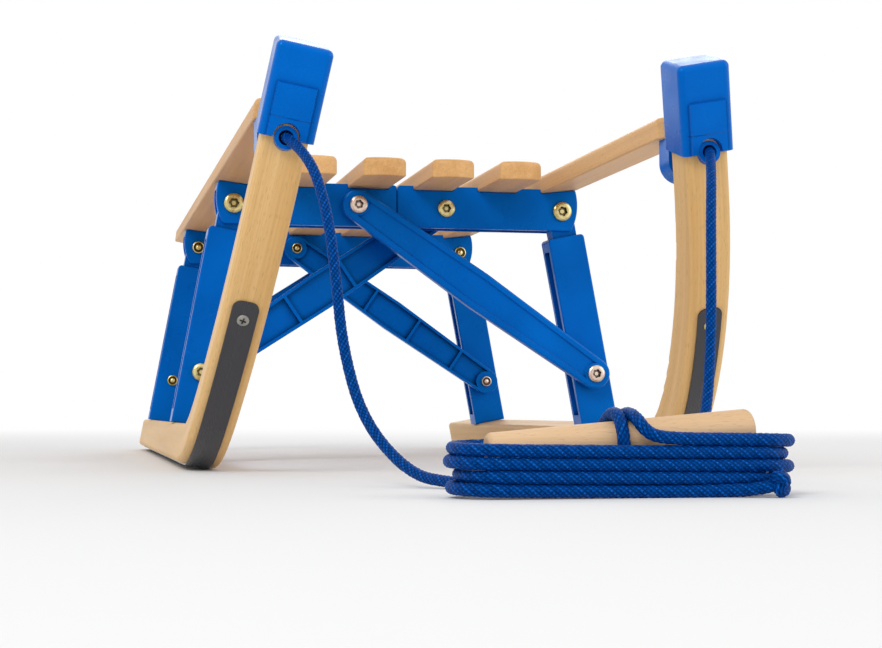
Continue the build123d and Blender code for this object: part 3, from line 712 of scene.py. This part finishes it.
# %% Strip screws
up_runner = Vector((-math.sin(splay), 0, math.cos(splay)))
strip_thick = 1.2 * mm
rise_screw_y = front_face_y - 0.272
rise_screw_turn = math.asin((rise_centre[0] - rise_screw_y) / (rise_radius + strip_thick))
strip_screws = [(on_arc(rise_centre, rise_radius + strip_thick, rise_screw_turn), rise_screw_turn)]
for along in (-0.097, 0.096, 0.292):            # under the flat run, measured from the front trestle
    strip_screws.append(((front_face_y + along, -runner_drop - strip_thick), 0.0))
for side, sign in (("left", -1), ("right", 1)):
    for number, ((y, up), turned) in enumerate(strip_screws):
        place = Vector((pivot_x, y, pivot_z)) + up_runner * up
        out = Vector((0, -math.sin(turned), 0)) - up_runner * math.cos(turned)
        place.x, out.x = place.x * sign, out.x * sign
        plated = yellow_zinc if side == "right" and number == 0 else dull_zinc
        proud = 0.5 * mm if number else 0.8 * mm
        screw(f"strip_screw_{side}_{number + 1}", place, out, plated, f"{side}_runner",
              radius=3.9 * mm, height=proud, turn=0.6 + number * 1.3 + sign)
print("strip screws:", 2 * len(strip_screws))

# %% [markdown]
# ### Screws in the slats
#
# A slat's screw stands in the middle of its top, over the middle of the half-beam below. The two outer
# slats tilt about the corner where their inner side meets the half-beam.

# %% Slat screws
slat_pitch, slat_half, slat_thick = 0.052, 0.016, 0.014
slat_tilt = math.radians(7)
seat_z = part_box("slat_right_inner")[0].z
for end in ("front", "rear"):
    beam = middle(f"half_beam_{end}_right")
    for side, sign in (("left", -1), ("right", 1)):
        for number, which in enumerate(("inner", "middle", "outer")):
            tilt = slat_tilt if which == "outer" else 0.0
            corner_x = (number + 0.5) * slat_pitch - slat_half
            x = corner_x + slat_half * math.cos(tilt) - slat_thick * math.sin(tilt)
            z = seat_z + slat_half * math.sin(tilt) + slat_thick * math.cos(tilt)
            screw(f"slat_screw_{end}_{side}_{which}", (sign * x, beam.y, z),
                  (-sign * math.sin(tilt), 0, math.cos(tilt)), clear_zinc, f"{side}_deck",
                  radius=3.6 * mm, height=0.45 * mm, turn=number * 0.9 + sign)

# %% [markdown]
# ## Pull rope: the route
#
# Each strand of the rope leaves its tube straight ahead, falls to the floor, and runs in to the knot. A
# smooth curve past a few given points is the simplest true model of a limp cord: they are a NURBS
# spline's control points, so the line rounds every corner by itself. Its order is set after its points,
# because an order set first falls back to straight runs. Blender draws the spline, and points at even
# steps are then read from what it drew.

# %% Smooth lines
rope_dia = 6 * mm


def smooth_line(points, step):
    """Points about a step apart along the NURBS spline that has these control points."""
    curve = bpy.data.curves.new("route", "CURVE")
    curve.dimensions = "3D"
    curve.resolution_u = 32
    spline = curve.splines.new("NURBS")
    spline.points.add(len(points) - 1)
    for control, place in zip(spline.points, points):
        control.co = (*place, 1)
    spline.order_u = 3
    spline.use_endpoint_u = True
    bare = bpy.data.objects.new("route", curve)
    drawn = bpy.data.meshes.new_from_object(bare)
    line = [vertex.co.copy() for vertex in drawn.vertices]
    bpy.data.meshes.remove(drawn)
    bpy.data.objects.remove(bare)
    bpy.data.curves.remove(curve)
    travelled = [0.0]
    for before, after in zip(line, line[1:]):
        travelled.append(travelled[-1] + (after - before).length)
    length = travelled[-1]
    count = round(length / step)
    even, index = [], 0
    for number in range(count + 1):
        target = length * number / count
        while index < len(line) - 2 and travelled[index + 1] < target:
            index += 1
        gap = max(travelled[index + 1] - travelled[index], 1e-9)
        even.append(line[index].lerp(line[index + 1], (target - travelled[index]) / gap))
    return even, length


# %% [markdown]
# ## Pull rope: the braid
#
# The rope is plaited from eight pairs of strands, which makes small slanting bumps all round it. The
# bumps are real shape here. A flat grid is rolled up round the line: its x becomes the way along the
# rope and its y the way round it, and each point stands out by how high the strand on top lies there.
# No two crossings of strands are quite as high, which makes the rope look handled and a little knobbly.
# That height is also kept as an attribute, so that the finish can paint shade into the valleys and
# a highlight onto the tops of the strands.

# %% Height of the braid
braid_pairs = 8
braid_pitch = 23 * mm
braid_relief = 0.15                             # depth of a valley, as a share of the rope's radius
mean_height = 0.47                              # of the braid, so that the mean thickness is right


def braid_height(around, along):
    """From 0 in the valleys to 1 on top of a strand; around is in turns, along in metres."""
    right_laid = (around + along / braid_pitch) * braid_pairs
    left_laid = (around - along / braid_pitch) * braid_pairs
    over, under = right_laid, left_laid
    if (math.floor(right_laid) + math.floor(left_laid)) % 2:
        over, under = under, over
    crown = math.sin(math.pi * (over % 1.0))
    dive = math.sin(math.pi * (under % 1.0)) ** 0.5
    crossing = math.floor(right_laid) * 37 + math.floor(left_laid) * 91
    uneven = 0.84 + 0.16 * math.sin(crossing * 1.7)
    return crown * dive * uneven


print("a strand goes round once in", braid_pitch, "m")


# %% Braided tube
def braided_tube(points, around, step=0.7 * mm, diameter=rope_dia):
    """A braided rope along a route: its bmesh, the line that it follows, and its length."""
    line, length = smooth_line(points, step)
    last = len(line) - 1
    mesh = bmesh.new()
    bmesh.ops.create_grid(mesh, x_segments=last, y_segments=around, size=1)
    height = mesh.verts.layers.float.new("braid_height")
    rings, across = [], (line[1] - line[0]).orthogonal()
    for number, place in enumerate(line):
        ahead = (line[min(number + 1, last)] - line[max(number - 1, 0)]).normalized()
        across = (across - ahead * across.dot(ahead)).normalized()
        rings.append((place, across, ahead.cross(across)))
    for vertex in mesh.verts:
        number = round((vertex.co.x + 1) / 2 * last)
        turn = round((vertex.co.y + 1) / 2 * around) / around
        place, out, side = rings[number]
        up = braid_height(turn, length * number / last)
        vertex[height] = up
        reach = diameter / 2 * (1 + braid_relief * (up - mean_height))
        angle = 2 * math.pi * turn
        vertex.co = place + (out * math.cos(angle) + side * math.sin(angle)) * reach
    bmesh.ops.remove_doubles(mesh, verts=mesh.verts, dist=1e-6)
    bmesh.ops.holes_fill(mesh, edges=mesh.edges, sides=0)
    bmesh.ops.recalc_face_normals(mesh, faces=mesh.faces)
    return mesh, line, length


# %% [markdown]
# ## Finish: braided rope
#
# The rope is blue polypropylene. Its finish paints light onto it: a painted highlight where a strand
# comes to the top, and painted shade, almost black, in the gaps. The braid's height attribute drives
# that, with fine noise for the single fibres.

# %% Rope finish
rope_finish, tree, shader = new_finish("braided_rope", (0.0, 0.035, 0.2), 0.55,
                                        Specular_IOR_Level=0.3, Specular_Tint=blue_gloss)
up = add_node(tree, "Attribute", attribute_name="braid_height").outputs["Fac"]
fibres = noise(tree, place_of(tree), 2400.0, 2.0)
mixed = calc(tree, "ADD", up, calc(tree, "MULTIPLY", calc(tree, "SUBTRACT", fibres, 0.5), 0.5))
# Painted light: the near black in the valleys is painted shade, and the pale blue on the crowns is a painted
# highlight.
rope_blue_painted_light = ramp(tree, mixed, (0.05, (0.0, 0.006, 0.04)), (0.42, (0.0, 0.038, 0.21)),
                 (0.75, (0.001, 0.085, 0.42)), (1.0, (0.04, 0.22, 0.72)))
tree.links.new(rope_blue_painted_light, shader.inputs["Base Color"])
bump(tree, shader, mixed, 0.5, 0.3 * mm)
print("rope finish has", len(tree.nodes), "nodes")

# %% [markdown]
# ## Pull rope: two strands
#
# The sled is pulled by a loop: a strand from each horn to one knot. Each hangs almost straight down from
# its tube and eases onto the floor, since a limp rope holds no arch. Both are the same length, and the
# left one carries the knot.

# %% Strands from the horns to the knot
strand_points = [            # (inwards, ahead, height) from the mouth of the tube
    (0, 0, pivot_z), (0.009, 0.026, pivot_z - 0.012), (0.017, 0.045, pivot_z - 0.044),
    (0.021, 0.055, pivot_z - 0.084), (0.024, 0.061, pivot_z - 0.125), (0.033, 0.076, pivot_z - 0.165),
    (0.053, 0.104, 0.0065), (0.070, 0.132, 0.0031), (0.084, 0.161, 0.0031), (0.104, 0.184, 0.0045),
    (pivot_x - 0.006, 0.1893, knot_at.z)]
strands = {}
for side, sign, body in (("left", -1, "tow_rope"), ("right", 1, "rope_right")):
    route = [(sign * (pivot_x - inward), mouth_y - ahead, z) for inward, ahead, z in strand_points]
    mesh, line, length = braided_tube(route, around=36)
    strand = piece(f"strand_{side}", mesh, rope_finish, body, [f"rope_{side}"], no_sharp_edge)
    strands[side] = (strand, route[0], length, line)
    print("strand", side, "is", round(length, 4), "long")

# %% [markdown]
# ## Pull rope: lashing and hank
#
# From the knot the rope climbs over the handle, goes round it once and over it again, and then lies in
# four long turns on each other below the handle. All of that is one spline. The way round the handle is
# written as corners of an eight-sided ring, because a spline of this kind touches the middle of each
# side, and each turn of the hank has sixteen points. No two turns are quite the same size.

# %% Corners of the lashing and points of the hank
lashing_radius = 12.8 * mm
ring_reach = lashing_radius / math.cos(math.radians(22.5))      # an eight-sided ring's corner
hank_y, handle_z = handle_at.y, handle_at.z


def on_ring(x, degrees):
    """A corner of the ring round the handle; x is in millimetres."""
    angle = math.radians(degrees)
    return (x * mm, hank_y + ring_reach * math.cos(angle), handle_z + ring_reach * math.sin(angle))


def by_hank(x, ahead, z):
    """A point in millimetres from the middle of the hank, on the floor."""
    return (x * mm, hank_y + ahead * mm, z * mm)


# %% Route of the lashing
top_turn_z = 27.2
hank_points = [by_hank(0, 30.4, 9), by_hank(-2, 29.5, 19), by_hank(-3.1, 25.8, 28), by_hank(-3.1, 15.5, 34.5)]
hank_points += [on_ring(x, degrees) for x, degrees in (
    (-3.1, 67.5), (-3.1, 112.5), (-3.1, 157.5), (-2.3, 202.5), (-0.8, 247.5), (0.8, 292.5),
    (2.3, 337.5), (3.1, 382.5), (3.1, 427.5), (3.1, 472.5))]
hank_points += [by_hank(3.6, -14.5, 36.0), by_hank(6, -19.0, 30.5), by_hank(14, -19.6, top_turn_z)]
print("lashing has", len(hank_points), "points")

# %% Route of the hank's turns
turn_corners = [             # one turn of the hank: (share of half length, share of half width)
    (0.67, -1), (0.864, -1), (1, -0.414), (1, 0.414), (0.864, 1), (0.67, 1), (0.24, 1), (-0.24, 1),
    (-0.67, 1), (-0.864, 1), (-1, 0.414), (-1, -0.414), (-0.864, -1), (-0.67, -1), (-0.24, -1), (0.24, -1)]
turn_sizes = [               # reach to the right and to the left, and half width
    (82.5, 80.5, 19.1), (79.0, 82.0, 18.9), (82.0, 77.5, 19.2), (80.0, 81.0, 19.0)]
turn_drop = 6.05             # millimetres from one turn down to the next
corner_count = 0
for reach_right, reach_left, half_width in turn_sizes:
    for along, out in turn_corners:
        corner_count += 1
        reach = reach_right if along > 0 else reach_left
        height = top_turn_z - turn_drop * corner_count / len(turn_corners)
        hank_points.append(by_hank(along * reach, out * half_width, height))
hank_points += [by_hank(44, -20.5, 3.1), by_hank(57, -24, 3.6), by_hank(66, -28, 6)]
print("whole route has", len(hank_points), "points")

# %% Make the lashing and the hank
mesh, line, length = braided_tube(hank_points, around=32, step=0.8 * mm)
hank = piece("hank", mesh, rope_finish, "handle", ["rope_hank", "rope_lashing"], no_sharp_edge)
print("lashing and hank are", round(length, 4), "long, with", len(hank.data.polygons), "faces")

# %% [markdown]
# ## Pull rope: knots
#
# An overhand knot is a rope on a trefoil path, pulled tight. The same braided tube makes it, on a closed
# path that is only as wide as the knot's own ball.


# %% Knots
knot_radius = 8.6 * mm
knot_corners = 18
pulled_tight = 0.92                             # a knotted rope is squeezed thinner


def knot(name, centre, radius, axis, body, stands_for=()):
    """A tight overhand knot, about as large as a ball of that radius."""
    turned = Vector(axis).to_track_quat("Z", "Y").to_matrix()
    half = rope_dia * pulled_tight / 2
    points = []
    for number in range(knot_corners + 1):
        angle = 2 * math.pi * number / knot_corners
        loop = Vector((math.sin(angle) + 2 * math.sin(2 * angle),
                       math.cos(angle) - 2 * math.cos(2 * angle), -1.25 * math.sin(3 * angle)))
        points.append(Vector(centre) + turned @ loop * (radius - half) / 3.0)
    mesh = braided_tube(points, around=28, diameter=2 * half)[0]
    return piece(name, mesh, rope_finish, body, stands_for, no_sharp_edge)


# %% [markdown]
# ### Where the knots are
#
# One knot joins the two strands, and one ends the hank. The lashing, the hank and its end knot are one
# cord with the handle on it, so they all ride on the handle's body.

# %% Knots at the joint and at the hank's end
joining_knot = knot("joining_knot", knot_at, knot_radius, (0, 0.5, 1), "tow_rope", ["rope_knot"])
end_knot = knot("end_knot", by_hank(67.5, -28.5, 7.2), 7.4 * mm, (1, -0.2, 0.3), "handle")
print("joining knot has", len(joining_knot.data.polygons), "faces")

# %% [markdown]
# ## Pull rope: the ends inside the tubes
#
# Behind each hinge the rope ends in a stopper knot, so that it can't slip out of the tube. These short
# ends and knots belong to the strands.

# %% Rope ends
knot_inset = 8 * mm                             # from the end of the rope's box to the knot's middle
for side, sign in (("left", -1), ("right", 1)):
    knot_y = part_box(f"rope_end_{side}")[1].y - knot_inset
    ways = (mouth_y + 0.4 * mm, mouth_y + 20 * mm, knot_y - 10 * mm, knot_y)
    route = [(sign * pivot_x, y, pivot_z) for y in ways]
    mesh = braided_tube(route, around=32)[0]
    in_tube = piece(f"rope_in_tube_{side}", mesh, rope_finish, f"{side}_deck",
                    [f"rope_end_{side}"], no_sharp_edge)
    stopper = knot(f"stopper_knot_{side}", (sign * pivot_x, knot_y, pivot_z), knot_radius,
                   (0.4 * sign, 0, 1), f"{side}_deck")
    strand, leaves, length, line = strands[side]
